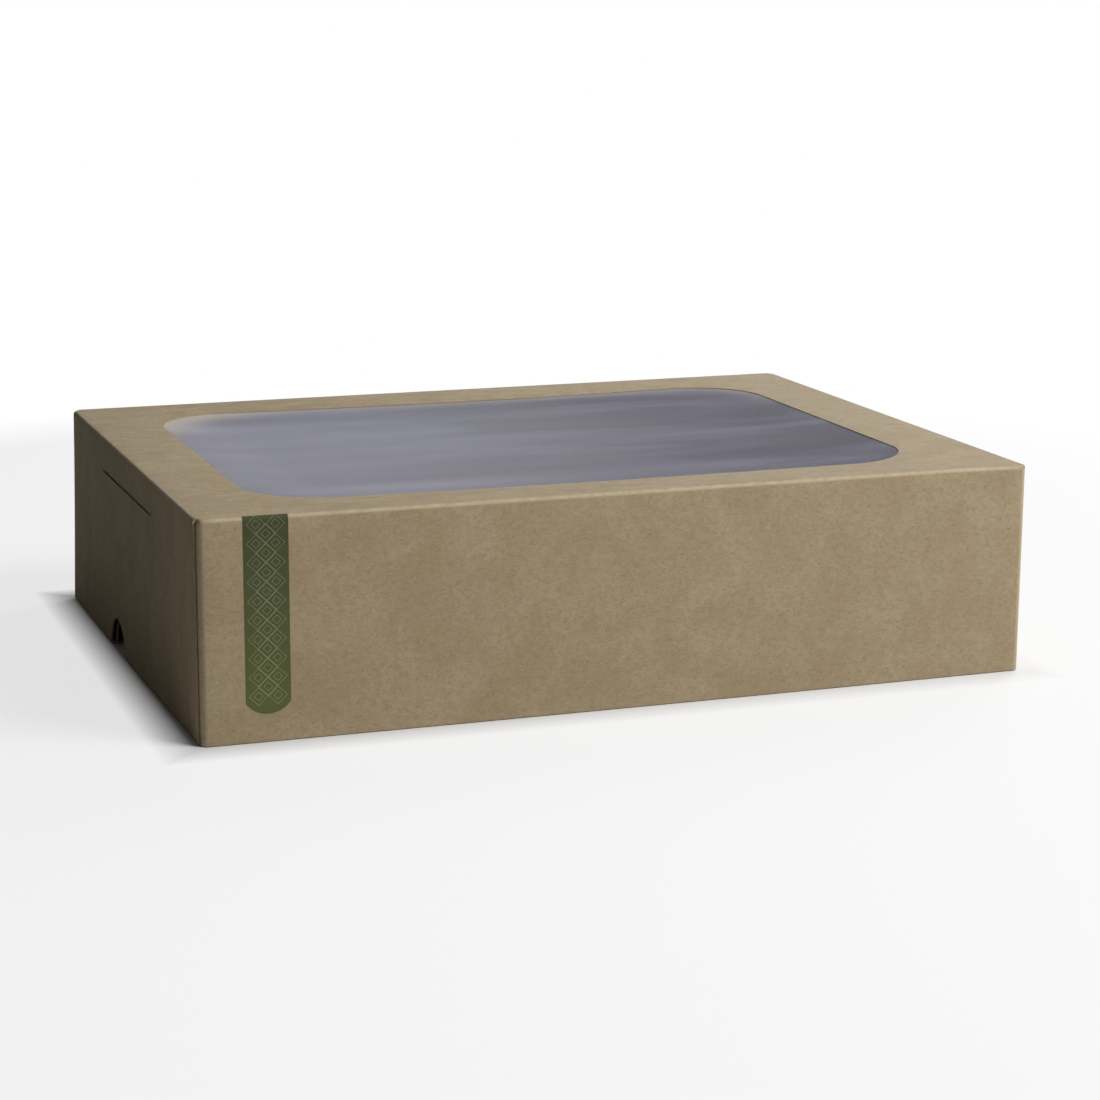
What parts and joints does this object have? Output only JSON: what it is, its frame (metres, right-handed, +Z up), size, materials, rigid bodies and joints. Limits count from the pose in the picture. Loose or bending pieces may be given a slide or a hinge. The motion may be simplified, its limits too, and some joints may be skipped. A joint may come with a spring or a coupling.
{
  "type": "sandwich platter with lid",
  "caption": "Rectangular folded kraft board platter: an open tray with leaning walls under a full-depth lid with a large film window, a lock slot and a thumb notch in each end.",
  "frame": {"origin": "centre of the footprint at the underside of the tray, where the platter stands", "axes": "+X along the length, -Y towards the printed front panel, +Z up"},
  "size_m": [0.31, 0.2252, 0.0784],
  "materials": {
    "kraft_outside": "uncoated brown kraft board, fine fibre mottling",
    "kraft_inside": "uncoated kraft board with a greaseproof lining",
    "clear_film": "thin clear film, glossy",
    "dark_green_ink": "matt print on kraft board",
    "pale_green_ink": "matt print on kraft board"
  },
  "bodies": {
    "tray": {"base_tray": "kraft_inside"},
    "lid": {"lid": "kraft_outside", "window_film": "clear_film", "print_band": "dark_green_ink", "print_lattice": "pale_green_ink"}
  },
  "joints": [
    {"name": "lid_lift", "type": "slide", "parent": "tray", "child": "lid", "axis": [0, 0, 1], "range_m": [0, 0.12]}
  ]
}
